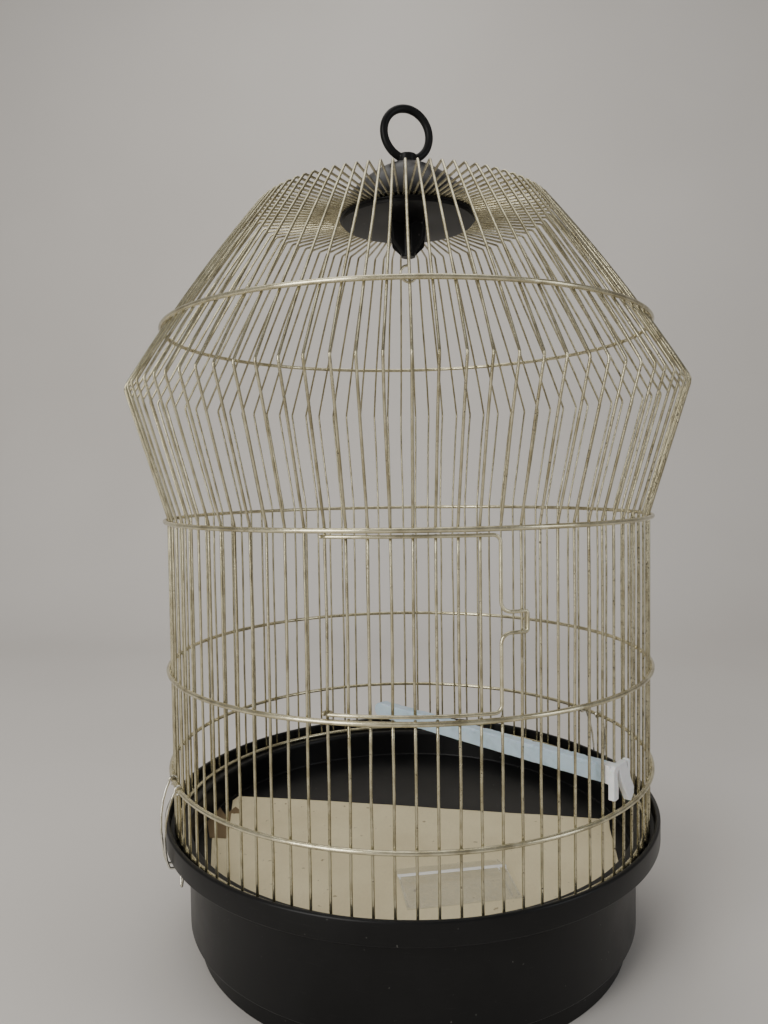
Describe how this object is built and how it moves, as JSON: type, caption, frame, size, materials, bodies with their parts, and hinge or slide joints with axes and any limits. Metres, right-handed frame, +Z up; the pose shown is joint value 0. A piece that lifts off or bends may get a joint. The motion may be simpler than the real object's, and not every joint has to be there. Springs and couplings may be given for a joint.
{
  "type": "bird cage",
  "caption": "Round domed wire bird cage with a hinged front door, sliding perch, hanging ring and lift-off deep base.",
  "frame": {"origin": "centre of the foot ring, on the surface that the base stands on", "axes": "+Z up through the hanging ring, -Y out of the door"},
  "size_m": [0.4198, 0.4196, 0.6358],
  "materials": {
    "black_plastic": "satin moulded plastic",
    "brass_wire": "aged brass plate with dark corrosion specks",
    "white_plastic": "pale satin plastic",
    "liner_card": "plain card, matte",
    "brown_card": "brown card, matte",
    "clear_plastic": "clear",
    "washer_steel": "plain"
  },
  "bodies": {
    "base": {"tray_pan": "black_plastic", "liner_lower": "liner_card", "liner_upper": "liner_card", "card_scrap": "brown_card", "clear_guard": "clear_plastic"},
    "cage": {"hoop_base": "brass_wire", "hoop_lower": "brass_wire", "hoop_sill": "brass_wire", "hoop_waist": "brass_wire", "hoop_shoulder": "brass_wire", "crown_ring": "brass_wire", "wires_front": "brass_wire", "wires_right": "brass_wire", "wires_back": "brass_wire", "wires_left": "brass_wire", "wires_over_door": "brass_wire", "wires_under_door": "brass_wire", "dome_cap": "black_plastic", "crown_washer": "washer_steel", "under_disc": "black_plastic"},
    "door": {"door_frame": "brass_wire", "door_wires": "brass_wire"},
    "clip_left": {"base_clip_left": "brass_wire"},
    "clip_right": {"base_clip_right": "brass_wire"},
    "perch": {"perch_clip": "white_plastic", "perch_bar": "white_plastic"},
    "hanger": {"hanging_ring": "black_plastic", "finial_nut": "black_plastic", "swing_hook": "brass_wire"}
  },
  "joints": [
    {"name": "cage_lift", "type": "slide", "parent": "base", "child": "cage", "axis": [0, 0, 1], "range_m": [0, 0.035]},
    {"name": "clip_left_swing", "type": "hinge", "parent": "cage", "child": "clip_left", "pos_m": [-0.16211, -0.08619, 0.1351], "axis": [-0.4695, 0.8829, 0], "range_deg": [0, 150]},
    {"name": "clip_right_swing", "type": "hinge", "parent": "cage", "child": "clip_right", "pos_m": [0.16211, 0.08619, 0.1351], "axis": [0.4695, -0.8829, 0], "range_deg": [0, 150]},
    {"name": "door_hinge", "type": "hinge", "parent": "cage", "child": "door", "pos_m": [-0.04391, -0.17611, 0.26375], "axis": [0, 0, -1], "range_deg": [0, 135]},
    {"name": "perch_slide", "type": "slide", "parent": "cage", "child": "perch", "axis": [0, 0, 1], "range_m": [0, 0.038]},
    {"name": "hanger_swivel", "type": "hinge", "parent": "cage", "child": "hanger", "pos_m": [0.004, 0, 0.58], "axis": [0, 0, 1], "continuous": true}
  ],
  "couplings": [
    {"joint": "clip_left_swing", "follows": "cage_lift", "rad_per_m": 74.79},
    {"joint": "clip_right_swing", "follows": "cage_lift", "rad_per_m": 74.79}
  ]
}
